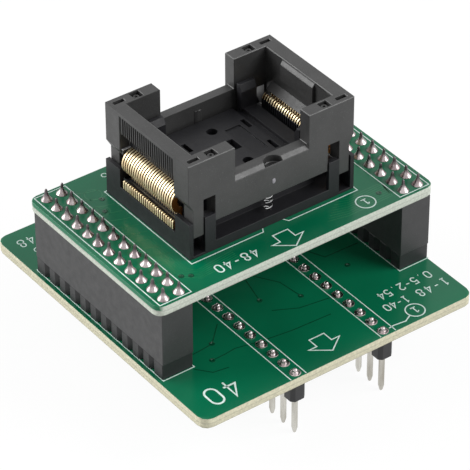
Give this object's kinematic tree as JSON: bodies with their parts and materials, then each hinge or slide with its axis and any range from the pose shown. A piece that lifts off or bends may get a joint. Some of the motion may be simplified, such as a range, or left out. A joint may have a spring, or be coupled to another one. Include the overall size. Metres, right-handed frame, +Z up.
{
  "type": "ic programming adapter",
  "caption": "Two stacked green circuit boards on two rows of pins, plugged together by pin headers, with an open-top sprung socket for a flat memory chip on top.",
  "frame": {"origin": "middle of the outline in plan, at the height of the pin tips it stands on", "axes": "+Z up, out of the chip socket; +X to the right along the front edge; +Y to the back"},
  "size_m": [0.0476, 0.0508, 0.0385],
  "materials": {
    "base_mask": "glossy green solder mask on glass-epoxy board",
    "adapter_mask": "glossy green solder mask on glass-epoxy board",
    "socket_plastic": "moulded, matt",
    "cover_plastic": "moulded, matt",
    "strip_plastic": "moulded, matt",
    "housing_plastic": "moulded, matt",
    "pin_metal": "tin plated",
    "contact_metal": "plated",
    "solder": "bright solder",
    "gold": "gold plated",
    "spring_steel": "bright"
  },
  "bodies": {
    "base_module": {"base_board": "base_mask", "left_dip_strip": "strip_plastic", "left_dip_pins": "pin_metal", "left_dip_solder": "solder", "left_header_strip": "strip_plastic", "left_header_pins": "pin_metal", "left_header_solder": "solder", "right_dip_strip": "strip_plastic", "right_dip_pins": "pin_metal", "right_dip_solder": "solder", "right_header_strip": "strip_plastic", "right_header_pins": "pin_metal", "right_header_solder": "solder"},
    "adapter_module": {"adapter_board": "adapter_mask", "test_socket_base": "socket_plastic", "front_return_spring": "spring_steel", "rear_return_spring": "spring_steel", "left_socket_housing": "housing_plastic", "left_socket_leaves": "contact_metal", "left_soldered_tails": "solder", "left_chip_contacts": "gold", "right_socket_housing": "housing_plastic", "right_socket_leaves": "contact_metal", "right_soldered_tails": "solder", "right_chip_contacts": "gold"},
    "socket_cover": {"test_socket_cover": "cover_plastic"}
  },
  "joints": [
    {"name": "adapter_unplug", "type": "slide", "parent": "base_module", "child": "adapter_module", "axis": [0, 0, 1], "range_m": [0, 0.009]},
    {"name": "cover_press", "type": "slide", "parent": "adapter_module", "child": "socket_cover", "axis": [0, 0, -1], "range_m": [0, 0.002], "stiffness_N_per_m": 1500, "springref_m": -0.0015, "deforming": ["front_return_spring", "rear_return_spring", "left_chip_contacts", "right_chip_contacts"]}
  ]
}
